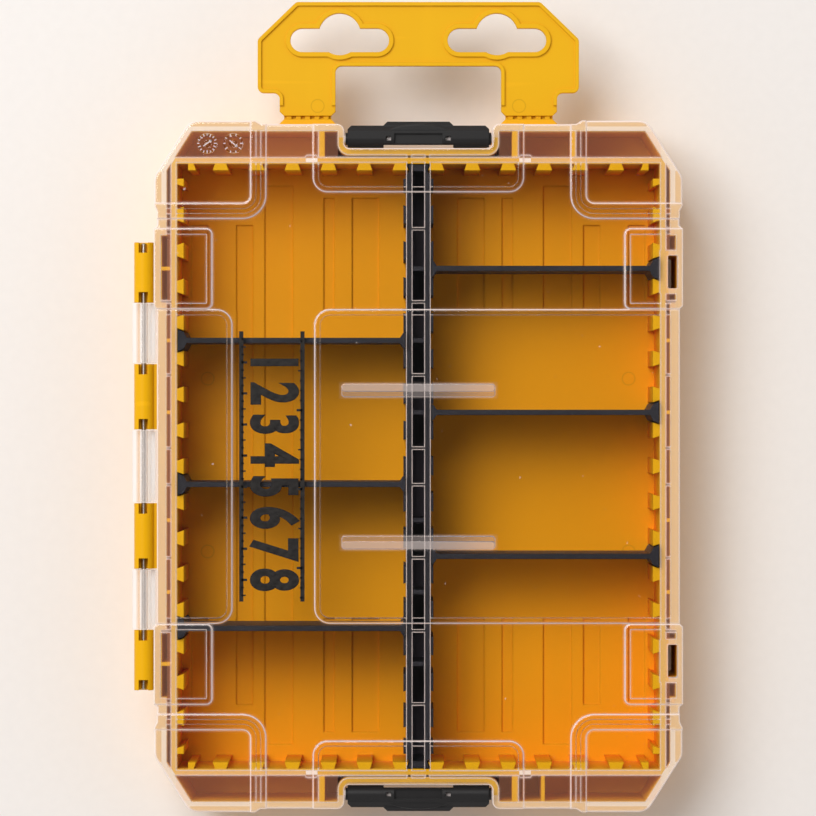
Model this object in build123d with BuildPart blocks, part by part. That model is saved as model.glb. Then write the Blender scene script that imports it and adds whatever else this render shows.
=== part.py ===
from build123d import *
import os

# A parts case with a clear hinged lid, lying flat with its lid up. Sizes are in millimetres. The origin is
# the centre of the underside, +Z is up, +Y points to the hang tab and the hinge is on the -X side.

# Case outline, seen from above
case_width = 168.2
case_length = 220.4
bumper_side = 0.9
bumper_end = 1.1
bumper_span_x = 33.3
bumper_span_y = 28.0
bumper_ramp = 1.8
bumper_chamfer_x = 11.4
bumper_chamfer_y = 18.0
bumper_round = 5.0
block_side = 1.0
block_from_end = 33.6
block_length = 26.0
block_ramp = 1.0

# Latch recess in each end
latch_length = 45.6
latch_end_gap = 1.0
recess_depth = 7.8
recess_round = 2.4
recess_corner = 1.6

# Base tub
base_height = 38.0
base_inset = 0.4
outer_wall = 1.8
inner_wall = 1.9
side_channel = 2.2
end_channel = 8.5
floor_thickness = 2.6
base_edge = 1.2
inner_band_ends = 9.6
middle_band_ends = 5.6
outer_band_ends = 18.6
floor_bands = [
    (0.165, 0.28, inner_band_ends),
    (0.355, 0.4, inner_band_ends),
    (0.53, 0.65, middle_band_ends),
    (0.7, 0.77, outer_band_ends),
    (0.89, 0.96, outer_band_ends),
]
stack_clearance = 0.6
block_recess = 1.0
bar_recess = 1.4
band_depth = 0.6
channel_rib = 1.2
channel_rib_rows = [1.5, 3.5, 5.5]
extra_rib_far = 50.1
extra_rib_near = 40.2
post_thickness = 2.0
post_offset = 6.4

# Dovetail teeth on the walls and on the centre divider
tooth_pitch = 11.6
tooth_depth = 2.1
tooth_root = 3.7
tooth_tip = 5.1
centre_tooth_depth = 1.05
centre_tooth_root = 5.4
centre_tooth_tip = 6.2

# Dividers
divider_thickness = 1.7
divider_clearance = 0.5
divider_end_gap = 0.3
divider_taper = 1.1
divider_top_gap = 0.4
centre_width = 7.6
centre_wall = 1.85
centre_floor = 1.6
centre_web = 1.4
centre_top_drop = 0.2
left_slots = [3.5, -0.5, -4.5]
right_slots = [5.5, 1.5, -2.5]
centre_web_rows = [1.5, 3.5, 5.5]

# Lid
parting_gap = 0.2
lid_wall = 2.0
lid_skin = 2.0
corner_fill = 0.8
lid_headroom = 2.4
lid_edge = 0.9
step_rise = 1.6
step_edge = 0.6
step_wall = 1.8
block_rise = 2.4
rib_gap = 0.3
rail_width = 1.75
rail_overlap = 0.6
rung_width = 0.8
rung_pitch = 11.78
rung_rows = [0.5, 2.5, 4.5, 6.5]
rail_pin_radius = 0.8
rail_pin_from_wall = 2.6
ring_tab_length = 3.9
ring_tab_width = 1.6
ring_tab_x = 34.5
side_ring_width = 1.6
end_ring_width = 1.5
pad_span_x = 35.2
pad_span_y = 30.6
pad_round = 7.7
ridge_width = 5.2
latch_zone_half = 34.0
latch_zone_span = 22.0
latch_zone_round = 4.8
block_span = 17.8
block_round = 2.0
side_plateau_span = 24.3
strip_width = 26.3
plateau_round = 5.1
bar_half_length = 24.6
bar_outer = 26.5
bar_strip = 2.4
bar_ledge = 1.7
bar_round = 1.0
bar_edge = 0.2
bar_rise = 1.2
ledge_rise = 0.5
dial_radius = 3.2
dial_inner_radius = 1.3
dial_ring = 0.5
dial_depth = 0.3
dial_from_end = 6.2
dial_from_side = 16.1
dial_pitch = 8.4

# Slotted bosses on the right side
boss_width = 7.3
boss_length = 13.9
boss_shift = 1.0
side_slot_width = 3.15
side_slot_length = 10.7
side_slot_inset = 3.3
side_slot_round = 0.6

# Hinge
hinge_offset = 4.5
pin_diameter = 1.6
pin_fixed_gap = 0.02
pin_running_gap = 0.06
pin_end_gap = 0.4
pin_chamfer = 0.2
base_knuckle_radius = 3.1
lid_knuckle_radius = 3.7
knuckle_gap = 0.25
knuckle_edges = [11.8, 33.1, 52.7, 72.3]
knuckle_web = 3.0
window_width = 3.0
window_length = 3.3

# Latches
axle_from_end = 4.6
axle_rise = 1.6
axle_radius = 1.3
axle_running_gap = 0.06
barrel_radius = 2.8
latch_face = 4.2
latch_plate = 2.6
latch_tail = 23.2
latch_corner = 1.2
latch_top_corner = 1.8
latch_middle = 22.4
middle_wall = 0.55
hub_radius = 2.0
hub_end_gap = 0.3
lip_reach = 1.3
lip_side_top = 0.6
lip_slope = 1.2
lip_top = 1.5
lip_arch_rise = 2.4
lip_arch_half = 10.6
lip_arch_reach = 0.6
lip_arch_sagitta = 2.1
lip_arch_round = 0.5
grip_groove_length = 15.4
grip_groove_width = 3.1
grip_groove_depth = 1.0
axle_window = 1.6
catch_length = 11.0
catch_inset = 1.4
catch_reach = 1.6
catch_height = 2.6
catch_lip = 0.9
hook_drop = 13.2
hook_height = 3.0
hook_gap = 0.3

# Hang tab
tab_drop = 5.2
tab_thickness = 2.4
tab_length = 40.0
tab_ear = 7.1
tab_chamfer_x = 12.5
tab_chamfer_y = 12.1
shoulder_from_end = 10.6
bar_from_end = 19.3
tab_round = 2.0
leg_gap = 3.0
leg_width = 18.1
leg_stub = 2.1
leg_notch = 1.4
tab_rim_width = 1.2
tab_rim_height = 0.8
rim_from_end = 6.5
web_length = 1.1
web_count = 5
web_pitch = 3.0
web_width = 1.7
web_thickness = 1.8
membrane_thickness = 0.8
hang_slot_pitch = 50.9
hang_slot_length = 31.95
hang_slot_width = 7.7
hang_slot_from_end = 27.65
hang_bump_radius = 6.8
hang_bump_rise = 8.75
slot_rim_width = 1.5

# Places worked out from the sizes above
half_width = case_width / 2
half_length = case_length / 2
block_far = half_length - block_from_end
block_near = block_far - block_length
boss_y = (block_near + block_far) / 2 - boss_shift
plateau_half = block_near
side_plateau_right = side_plateau_span - half_width
plateau_left = side_plateau_right + strip_width
block_x = half_width + block_side
recess_half = latch_length / 2 + latch_end_gap
recess_y = half_length - recess_depth
cavity_x = half_width - base_inset - outer_wall - side_channel - inner_wall
cavity_y = half_length - base_inset - outer_wall - end_channel - inner_wall
lid_bottom = base_height + parting_gap
panel_under = base_height + lid_headroom
panel_top = panel_under + lid_skin
rib_bottom = base_height + rib_gap
centre_half = centre_width / 2
centre_top = base_height - centre_top_drop
divider_top = panel_under - divider_top_gap
hinge_x = -(half_width + hinge_offset)
hinge_z = base_height + parting_gap / 2
base_spans = [(knuckle_edges[0], knuckle_edges[1]), (knuckle_edges[2], knuckle_edges[3])]
base_spans += [(-far, -near) for near, far in base_spans]
lid_spans = [(-knuckle_edges[0], knuckle_edges[0])]
lid_spans += [(knuckle_edges[1], knuckle_edges[2]), (-knuckle_edges[2], -knuckle_edges[1])]
boss_x = block_x - boss_width / 2
side_slot_x = block_x - side_slot_inset
axle_y = half_length - axle_from_end
axle_z = base_height + axle_rise
latch_face_y = axle_y + latch_face
catch_tip = recess_y - base_inset + catch_reach
hook_top = axle_z - hook_drop
tab_top_z = base_height - tab_drop
tab_under = tab_top_z - tab_thickness
tab_top = half_length + tab_length
tab_shoulder = half_length + shoulder_from_end
tab_bar_bottom = half_length + bar_from_end
tab_rim_end = half_length + rim_from_end
web_line = half_length + leg_stub
leg_foot = web_line + web_length
leg_inner = recess_half + leg_gap
leg_outer = leg_inner + leg_width
leg_middle = leg_inner + leg_width / 2
tab_half_width = leg_outer + tab_ear
hang_slot_y = half_length + hang_slot_from_end
hang_bump_y = hang_slot_y + hang_bump_rise - hang_bump_radius
past = 80.0
smallest_round = 0.3

os.makedirs("parts", exist_ok=True)


def both(value):
    """A value and its negative."""
    return (value, -value)


def finish(piece, name):
    """Names a finished piece and writes it."""
    piece.label = name
    export_step(piece, f"parts/{name}.step")


def quarter_outline():
    """Corners of the case outline, from the middle of the far end to the middle of the right side."""
    corner_x = half_width + bumper_side
    corner_y = half_length + bumper_end
    return [
        (0, recess_y),
        (recess_half, recess_y),
        (recess_half, half_length),
        (half_width - bumper_span_x, half_length),
        (half_width - bumper_span_x + bumper_ramp, corner_y),
        (corner_x - bumper_chamfer_x, corner_y),
        (corner_x, corner_y - bumper_chamfer_y),
        (corner_x, half_length - bumper_span_y + bumper_ramp),
        (half_width, half_length - bumper_span_y),
        (half_width, block_far + block_ramp),
        (block_x, block_far),
        (block_x, block_near + block_ramp),
        (half_width, block_near),
        (half_width, 0),
    ]


def mirrored_at(x, y):
    """A test for the vertices at a place and at its mirror images."""
    near = 0.01
    return lambda v: abs(abs(v.X) - x) < near and abs(abs(v.Y) - y) < near


# Case outline
with BuildSketch() as case_outline:
    with BuildLine():
        Polyline(*quarter_outline())
        mirror(about=Plane.YZ)
        mirror(about=Plane.XZ)
    make_face()
    chamfer_start = half_width + bumper_side - bumper_chamfer_x
    chamfer_end = half_length + bumper_end - bumper_chamfer_y
    corners = case_outline.vertices()
    fillet(corners.filter_by(mirrored_at(recess_half, half_length)), recess_round)
    corners = case_outline.vertices()
    fillet(corners.filter_by(mirrored_at(recess_half, recess_y)), recess_corner)
    corners = case_outline.vertices()
    fillet(corners.filter_by(mirrored_at(chamfer_start, half_length + bumper_end)), bumper_round)
    corners = case_outline.vertices()
    fillet(corners.filter_by(mirrored_at(half_width + bumper_side, chamfer_end)), bumper_round)


def draw_outline(inset=0.0, mode=Mode.ADD):
    """Draws the case outline, moved in by an inset, in the open sketch."""
    shape = case_outline.sketch
    if inset:
        shape = offset(shape, amount=-inset, kind=Kind.INTERSECTION, mode=Mode.PRIVATE)
    add(shape, mode=mode)


def draw_inside(inset, mode=Mode.ADD):
    """Draws the outline of a hollow, moved in by an inset. The bumpers stay solid, and the side blocks don't."""
    shape = offset(case_outline.sketch, amount=-inset, kind=Kind.INTERSECTION, mode=Mode.PRIVATE)
    middle = Rectangle(2 * (half_width - inset - corner_fill), 2 * (half_length - inset), mode=Mode.PRIVATE)
    blocks = Rectangle(2 * case_width, 2 * (block_far - inset), mode=Mode.PRIVATE)
    between = Rectangle(2 * case_width, 2 * (block_near + inset), mode=Mode.PRIVATE)
    add(shape & (middle + (blocks - between)), mode=mode)


def tooth_places(half_span, first):
    """Middles of the whole teeth along a wall, and the place of the half tooth next to its end."""
    places = []
    row = first
    while row * tooth_pitch < half_span - tooth_pitch / 2 - tooth_tip / 2:
        places += {row * tooth_pitch, -row * tooth_pitch}
        row += 1
    return places, min(row * tooth_pitch, half_span - divider_end_gap - tooth_depth - divider_taper)


def draw_wall_teeth(wall, half_span, depth, root, tip, facing, first, mode):
    """Draws the dovetail teeth that grow from two facing walls, with a half tooth near each wall's ends."""
    places, last = tooth_places(half_span, first)
    lower = [(0, -root / 2), (depth, -tip / 2)]
    upper = [(depth, tip / 2), (0, root / 2)]
    with PolarLocations(0, 2, start_angle=facing):
        with Locations(*[(wall, place) for place in places]):
            Polygon(*lower, *upper, align=None, mode=mode)
        with Locations((wall, last)):
            Polygon(*lower, (depth, 0), (0, 0), align=None, mode=mode)
        with Locations((wall, -last)):
            Polygon((0, 0), (depth, 0), *upper, align=None, mode=mode)


def draw_corner_pads(inset=0.0, mode=Mode.ADD):
    """Draws the four corner pads, which run past the outline."""
    x = half_width - pad_span_x + inset + past / 2
    y = half_length - pad_span_y + inset + past / 2
    with Locations(*[(a, b) for a in both(x) for b in both(y)]):
        RectangleRounded(past, past, max(pad_round - inset, smallest_round), mode=mode)


def draw_corner_ridges(inset=0.0):
    """Draws the ridge along the inner sides of each corner pad. The pad itself stays at the panel's level."""
    draw_corner_pads(inset)
    draw_corner_pads(ridge_width - inset, Mode.SUBTRACT)


def draw_latch_zones(inset=0.0):
    """Draws the zones beside the two latches."""
    y = half_length - latch_zone_span + inset + past / 2
    with Locations(*[(0, b) for b in both(y)]):
        RectangleRounded(2 * (latch_zone_half - inset), past, max(latch_zone_round - inset, smallest_round))


def draw_plateaus(inset=0.0):
    """Draws the wide plateau and the narrow one beside the hinge."""
    height = 2 * (plateau_half - inset)
    corner = max(plateau_round - inset, smallest_round)
    with Locations((plateau_left + inset + past, 0), (side_plateau_right - inset - past, 0)):
        RectangleRounded(2 * past, height, corner)


def draw_side_blocks(inset=0.0):
    """Draws the four blocks on the long sides."""
    x = half_width - block_span + inset + past / 2
    y = (block_near + block_far) / 2
    with Locations(*[(a, b) for a in both(x) for b in both(y)]):
        RectangleRounded(past, block_far - block_near - 2 * inset, max(block_round - inset, smallest_round))


def draw_bars(width, outer, inset=0.0):
    """Draws the two locating bars or their ledges."""
    with Locations(*[(0, b) for b in both(outer - width / 2)]):
        corner = max(bar_round - inset, smallest_round)
        RectangleRounded(2 * (bar_half_length - inset), width - 2 * inset, corner)


def draw_bosses():
    """Draws the footprints of the two slotted bosses."""
    with Locations(*[(boss_x, b) for b in both(boss_y)]):
        Rectangle(boss_width, boss_length)


def draw_side_slots():
    """Draws the through slots in those bosses."""
    with Locations(*[(side_slot_x, b) for b in both(boss_y)]):
        RectangleRounded(side_slot_width, side_slot_length, side_slot_round)


def draw_floor_bands():
    """Draws the shallow bands in the tub's floor, which stop at the smooth plateaus."""
    for near, far, from_wall in floor_bands:
        with Locations(*[(a, 0) for a in both(cavity_x * (near + far) / 2)]):
            Rectangle(cavity_x * (far - near), 2 * (cavity_y - from_wall))
    with Locations((plateau_left + past, 0), (side_plateau_right - past, 0)):
        Rectangle(2 * past, 2 * plateau_half, mode=Mode.SUBTRACT)


def draw_channel_ribs():
    """Draws the ribs that cross the channel between the tub's two walls."""
    rows = [side * row * tooth_pitch for row in channel_rib_rows for side in (1, -1)]
    reach = side_channel + 2 * channel_rib
    side_x = cavity_x + inner_wall + side_channel / 2
    with Locations(*[(a, row) for a in both(side_x) for row in rows]):
        Rectangle(reach, channel_rib)
    end_y = cavity_y + inner_wall + end_channel / 2
    end_reach = end_channel + 2 * channel_rib
    post_x = recess_half + post_offset + post_thickness / 2
    with Locations(*[(a, b) for a in both(post_x) for b in both(end_y)]):
        Rectangle(post_thickness, end_reach)
    with Locations((extra_rib_far, end_y), (extra_rib_near, -end_y)):
        Rectangle(channel_rib, end_reach)


def end_points(wall, inward, depth, foot, neck, stem):
    """One side of a divider's dovetail end, from the wall to where its stem starts, along +x."""
    stem_start = wall + inward * (depth + divider_taper)
    return [(wall, foot / 2), (wall + inward * depth, neck / 2), (stem_start, stem / 2)]


wall_foot = tooth_pitch - tooth_root - 2 * divider_clearance
wall_neck = tooth_pitch - tooth_tip - 2 * divider_clearance
centre_foot = tooth_pitch - centre_tooth_root - divider_clearance
centre_neck = tooth_pitch - centre_tooth_tip - divider_clearance


def knuckle_row(spans, radius, pin_gap, web_end, web_z):
    """Hinge knuckles over some spans of the axis, each with a web to its wall, bored for the pin."""
    with BuildPart() as row:
        for near, far in spans:
            length = far - near - knuckle_gap
            middle = (near + far) / 2
            with Locations((hinge_x, middle, hinge_z)):
                Cylinder(radius, length, rotation=(90, 0, 0))
            with Locations(((hinge_x + web_end) / 2, middle, web_z)):
                Box(web_end - hinge_x, length, knuckle_web)
            with Locations((hinge_x, middle, hinge_z)):
                Cylinder(pin_diameter / 2 + pin_gap, length, rotation=(90, 0, 0), mode=Mode.SUBTRACT)
    return row.part


# Ribs and posts in the channel, and the slotted bosses
with BuildPart() as tub_ribs:
    with BuildSketch(Plane.XY.offset(floor_thickness / 2)):
        draw_channel_ribs()
        draw_bosses()
        draw_outline(base_inset + base_edge, mode=Mode.INTERSECT)
        Rectangle(2 * cavity_x, 2 * cavity_y, mode=Mode.SUBTRACT)
    extrude(amount=base_height - floor_thickness / 2)

# Catches for the latches, two in each recess
with BuildPart() as catches:
    catch_x = recess_half - catch_inset - catch_length / 2
    catch_root = recess_y - base_inset - outer_wall / 2
    catch_bottom = hook_top + parting_gap
    catch_side = [
        (catch_root, catch_bottom),
        (catch_tip, catch_bottom),
        (catch_tip, catch_bottom + catch_lip),
        (recess_y - base_inset, catch_bottom + catch_height),
        (catch_root, catch_bottom + catch_height),
    ]
    for x in both(catch_x):
        with BuildSketch(Plane.YZ.offset(x - catch_length / 2)):
            for end in (1, -1):
                Polygon(*[(end * y, z) for y, z in catch_side], align=None)
        extrude(amount=catch_length)

# Hinge knuckles of the tub, with windows that show the pin
with BuildPart() as tub_knuckles:
    wall_x = half_width - base_inset - outer_wall / 2
    add(knuckle_row(base_spans, base_knuckle_radius, pin_fixed_gap, -wall_x, base_height - knuckle_web / 2))
    window_z = hinge_z + base_knuckle_radius / 2
    for near, far in base_spans:
        window_y = (far - near - knuckle_gap - window_length) / 2
        with Locations(*[(hinge_x, (near + far) / 2 + b, window_z) for b in both(window_y)]):
            Box(window_width, window_length, base_knuckle_radius + 1, mode=Mode.SUBTRACT)

# Feet of the hang tab's legs, up to the break line
with BuildPart() as leg_feet:
    foot_root = half_length - base_inset - outer_wall / 2
    foot = [
        (-leg_width / 2, foot_root),
        (leg_width / 2, foot_root),
        (leg_width / 2, web_line - leg_notch),
        (leg_width / 2 - leg_notch, web_line),
        (leg_notch - leg_width / 2, web_line),
        (-leg_width / 2, web_line - leg_notch),
    ]
    with BuildSketch(Plane.XY.offset(tab_under)):
        with Locations(*[(a, 0) for a in both(leg_middle)]):
            Polygon(*foot, align=None)
    extrude(amount=tab_thickness)

# Recesses underneath for the raised lid of the case below, and the side slots
with BuildPart() as tub_cuts:
    with BuildSketch():
        draw_side_blocks(-stack_clearance)
    extrude(amount=block_recess)
    with BuildSketch():
        draw_bars(bar_strip + bar_ledge, bar_outer, -stack_clearance)
    extrude(amount=bar_recess)
    with BuildSketch():
        draw_side_slots()
    extrude(amount=base_height)

# Base tub
with BuildPart() as base_tub:
    with BuildSketch():
        draw_outline(base_inset)
    extrude(amount=base_height)
    chamfer(base_tub.faces().sort_by(Axis.Z)[0].edges(), base_edge)

    # Channel between the walls, and the cavity with its teeth
    with BuildSketch(Plane.XY.offset(floor_thickness)):
        draw_inside(base_inset + outer_wall)
        Rectangle(2 * (cavity_x + inner_wall), 2 * (cavity_y + inner_wall), mode=Mode.SUBTRACT)
        Rectangle(2 * cavity_x, 2 * cavity_y)
        draw_wall_teeth(cavity_x, cavity_y, -tooth_depth, tooth_root, tooth_tip, 0, 0, Mode.SUBTRACT)
        draw_wall_teeth(cavity_y, cavity_x, -tooth_depth, tooth_root, tooth_tip, 90, 0.5, Mode.SUBTRACT)
    extrude(amount=base_height, mode=Mode.SUBTRACT)
    with BuildSketch(Plane.XY.offset(floor_thickness - band_depth)):
        draw_floor_bands()
    extrude(amount=band_depth, mode=Mode.SUBTRACT)
    add([tub_ribs.part, catches.part, tub_knuckles.part, leg_feet.part])
    add(tub_cuts.part, mode=Mode.SUBTRACT)
finish(base_tub.part, "base_tub")


# Hinge pin
with BuildPart() as hinge_pin:
    with Locations((hinge_x, 0, hinge_z)):
        Cylinder(pin_diameter / 2, 2 * (knuckle_edges[-1] - pin_end_gap), rotation=(90, 0, 0))
    chamfer(hinge_pin.edges().filter_by(GeomType.CIRCLE), pin_chamfer)
finish(hinge_pin.part, "hinge_pin")


# Hang tab
def draw_hang_slots(grow=0.0, mode=Mode.ADD):
    """Draws the two hang slots with the bump over each, widened by an amount."""
    with Locations(*[(a, hang_slot_y) for a in both(hang_slot_pitch / 2)]):
        SlotOverall(hang_slot_length + 2 * grow, hang_slot_width + 2 * grow, mode=mode)
    with Locations(*[(a, hang_bump_y) for a in both(hang_slot_pitch / 2)]):
        Circle(hang_bump_radius + grow, mode=mode)


with BuildSketch(Plane.XY.offset(tab_under)) as tab_outline:
    with BuildLine():
        Polyline(
            (0, tab_top),
            (tab_half_width - tab_chamfer_x, tab_top),
            (tab_half_width, tab_top - tab_chamfer_y),
            (tab_half_width, tab_shoulder),
            (leg_outer, tab_shoulder),
            (leg_outer, leg_foot + leg_notch),
            (leg_outer - leg_notch, leg_foot),
            (leg_inner + leg_notch, leg_foot),
            (leg_inner, leg_foot + leg_notch),
            (leg_inner, tab_bar_bottom),
            (0, tab_bar_bottom),
        )
        mirror(about=Plane.YZ)
    make_face()
    corners = tab_outline.vertices()
    fillet(corners.filter_by(lambda v: abs(v.X) > 1 and v.Y > leg_foot + 2 * leg_notch), tab_round)

with BuildPart() as hanger:
    add(tab_outline.sketch)
    extrude(amount=tab_thickness)

    # Raised rims round the edge and round the slots
    with BuildSketch(Plane.XY.offset(tab_top_z)):
        add(tab_outline.sketch_local)
        offset(amount=-tab_rim_width, kind=Kind.INTERSECTION, mode=Mode.SUBTRACT)
        with Locations((0, tab_rim_end - past / 2)):
            Rectangle(2 * past, past, mode=Mode.SUBTRACT)
        draw_hang_slots(slot_rim_width)
    extrude(amount=tab_rim_height)
    with BuildSketch(Plane.XY.offset(tab_under)):
        draw_hang_slots()
    extrude(amount=tab_thickness + tab_rim_height, mode=Mode.SUBTRACT)

    # Thin skin and webs that hold each leg to the tub until it is broken off
    web_middles = [(i - (web_count - 1) / 2) * web_pitch for i in range(web_count)]
    web_reach = leg_foot - web_line
    with BuildSketch(Plane.XY.offset(tab_under)):
        with Locations(*[(a, web_line + web_reach / 2) for a in both(leg_middle)]):
            Rectangle(leg_width - 2 * leg_notch, web_reach)
    extrude(amount=membrane_thickness)
    with BuildSketch(Plane.XY.offset(tab_under)):
        with Locations(*[(a + b, web_line + web_reach / 2) for a in both(leg_middle) for b in web_middles]):
            Rectangle(web_width, web_reach)
    extrude(amount=web_thickness)
finish(hanger.part, "hanger")


# Centre divider
with BuildPart() as centre_divider:
    end_wall = cavity_y - divider_end_gap
    with BuildSketch(Plane.XY.offset(floor_thickness)):
        with BuildLine():
            dovetail = end_points(end_wall, -1, tooth_depth, wall_foot, wall_neck, centre_width)
            Polyline((centre_half, 0), *[(y, x) for x, y in reversed(dovetail)], (0, end_wall))
            mirror(about=Plane.YZ)
            mirror(about=Plane.XZ)
        make_face()
        draw_wall_teeth(
            centre_half, cavity_y, centre_tooth_depth, centre_tooth_root, centre_tooth_tip, 0, 0, Mode.ADD
        )
    extrude(amount=centre_top - floor_thickness)
    web_rows = sorted(side * row * tooth_pitch for row in centre_web_rows for side in (1, -1))
    stops = [-(end_wall - centre_web), *web_rows, end_wall - centre_web]
    with BuildSketch(Plane.XY.offset(floor_thickness + centre_floor)):
        for low, high in zip(stops, stops[1:]):
            with Locations((0, (low + high) / 2)):
                Rectangle(centre_width - 2 * centre_wall, high - low - centre_web)
    extrude(amount=base_height, mode=Mode.SUBTRACT)
finish(centre_divider.part, "centre_divider")


def cross_divider(side, slot):
    """A divider from the centre divider to a side wall, in the slot at a number of pitches."""
    place = slot * tooth_pitch
    inner = end_points(
        centre_half + divider_end_gap, 1, centre_tooth_depth - divider_end_gap,
        centre_foot, centre_neck, divider_thickness,
    )
    outer = end_points(
        cavity_x - divider_end_gap, -1, tooth_depth - divider_end_gap,
        wall_foot, wall_neck, divider_thickness,
    )
    upper = [(side * x, place + y) for x, y in inner + outer[::-1]]
    lower = [(side * x, place - y) for x, y in outer + inner[::-1]]
    with BuildPart() as divider:
        with BuildSketch(Plane.XY.offset(floor_thickness)):
            Polygon(*upper, *lower, align=None)
        extrude(amount=divider_top - floor_thickness)
    return divider.part


for number, slot in enumerate(left_slots, start=1):
    finish(cross_divider(-1, slot), f"left_divider_{number}")
for number, slot in enumerate(right_slots, start=1):
    finish(cross_divider(1, slot), f"right_divider_{number}")


def draw_lid_ribs():
    """Draws the footprints of the ribs and pins under the lid, and of the bosses."""
    outer_x = cavity_x + inner_wall
    outer_y = cavity_y + inner_wall
    with Locations(*[(a, 0) for a in both(outer_x - side_ring_width / 2)]):
        Rectangle(side_ring_width, 2 * outer_y)
    with Locations(*[(0, b) for b in both(outer_y - end_ring_width / 2)]):
        Rectangle(2 * outer_x, end_ring_width)
    rail_x = centre_half - rail_width / 2
    with Locations(*[(a, 0) for a in both(rail_x)]):
        SlotOverall(2 * (cavity_y + rail_overlap), rail_width, rotation=90)
    rows = [side * row * rung_pitch for row in rung_rows for side in (1, -1)]
    side_x = (outer_x + half_width) / 2
    with Locations(*[(0, row) for row in rows]):
        Rectangle(2 * rail_x, rung_width)
    with Locations(*[(a, row) for a in both(side_x) for row in rows]):
        Rectangle(half_width - outer_x + side_ring_width, rung_width)
    pin_y = cavity_y + rail_pin_from_wall
    with Locations(*[(a, b) for a in both(rail_x) for b in both(pin_y)]):
        Circle(rail_pin_radius)
    with Locations(*[(a, b) for a in both(ring_tab_x) for b in both(outer_y)]):
        SlotOverall(ring_tab_length, ring_tab_width)
    draw_bosses()


# Raised zones of the lid: how each is drawn and how far it rises
raised_zones = [
    (draw_latch_zones, step_rise),
    (draw_plateaus, step_rise),
    (draw_corner_ridges, step_rise),
    (draw_side_blocks, block_rise),
]


def zone_block(draw_zone, rise):
    """One kind of raised zone, from the rim to its rounded top."""
    with BuildPart() as block:
        with BuildSketch(Plane.XY.offset(lid_bottom)):
            draw_zone()
            draw_outline(mode=Mode.INTERSECT)
        extrude(amount=panel_top + rise - lid_bottom)
        tops = block.faces().group_by(Axis.Z)[-1]
        fillet(tops.edges(), step_edge)
    return block.part


def bar_block(width, rise):
    """The two locating bars or their ledges, from inside the wide plateau to a rounded top."""
    with BuildPart() as block:
        with BuildSketch(Plane.XY.offset(panel_top)):
            draw_bars(width, bar_outer)
        extrude(amount=step_rise + rise)
        fillet(block.faces().group_by(Axis.Z)[-1].edges(), bar_edge)
    return block.part


# Hollow under the lid, which follows the raised zones and leaves the ribs
with BuildPart() as lid_hollow:
    with BuildSketch(Plane.XY.offset(lid_bottom)):
        draw_inside(lid_wall)
    extrude(amount=panel_under - lid_bottom)
    for draw_zone, rise in raised_zones:
        with BuildSketch(Plane.XY.offset(lid_bottom)):
            draw_zone(step_wall)
            draw_inside(lid_wall, Mode.INTERSECT)
        extrude(amount=panel_under + rise - lid_bottom)
    with BuildSketch(Plane.XY.offset(rib_bottom)):
        draw_lid_ribs()
    extrude(amount=past, mode=Mode.SUBTRACT)

# Axles for the latches, across each recess
with BuildPart() as axles:
    with Locations(*[(0, b, axle_z) for b in both(axle_y)]):
        Cylinder(axle_radius, 2 * recess_half + lid_wall, rotation=(0, 90, 0))

# Lid
with BuildPart() as lid:
    with BuildSketch(Plane.XY.offset(lid_bottom)):
        draw_outline()
    extrude(amount=panel_top - lid_bottom)
    fillet(lid.faces().sort_by(Axis.Z)[-1].edges(), lid_edge)
    for draw_zone, rise in raised_zones:
        add(zone_block(draw_zone, rise))

    # Slots through the bosses on the right
    with BuildSketch(Plane.XY.offset(lid_bottom)):
        draw_side_slots()
    extrude(amount=past, mode=Mode.SUBTRACT)

    # Two blank mould dials on the corner pad beside the hinge
    dial_y = half_length - dial_from_end
    dial_x = dial_from_side - half_width
    with BuildSketch(Plane.XY.offset(panel_top - dial_depth)):
        with Locations((dial_x, dial_y), (dial_x + dial_pitch, dial_y)):
            Circle(dial_radius)
            Circle(dial_radius - dial_ring, mode=Mode.SUBTRACT)
            Circle(dial_inner_radius)
            Circle(dial_inner_radius - dial_ring, mode=Mode.SUBTRACT)
    extrude(amount=dial_depth, mode=Mode.SUBTRACT)

    # Two locating bars, the hollow underneath, the axles and the hinge knuckles
    add(bar_block(bar_strip + bar_ledge, ledge_rise))
    add(bar_block(bar_strip, bar_rise))
    add(lid_hollow.part, mode=Mode.SUBTRACT)
    wall_x = half_width - lid_wall / 2
    web_z = lid_bottom + knuckle_web / 2
    knuckles = knuckle_row(lid_spans, lid_knuckle_radius, pin_running_gap, -wall_x, web_z)
    add([axles.part, knuckles])
finish(lid.part, "lid")


# Latches
def arch_block(radius, front):
    """The arched top of a latch's finger lip, with its edge rounded."""
    with BuildPart() as block:
        with BuildSketch(Plane.XY.offset(axle_z + lip_side_top)):
            with Locations((0, front - radius)):
                Circle(radius)
            with Locations((0, front)):
                Rectangle(2 * lip_arch_half, 2 * (front - axle_y - barrel_radius / 2), mode=Mode.INTERSECT)
        extrude(amount=lip_arch_rise - lip_side_top)
        rims = block.edges().filter_by(GeomType.CIRCLE).group_by(Axis.Z)[-1]
        fillet(rims, lip_arch_round)
    return block.part


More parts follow.
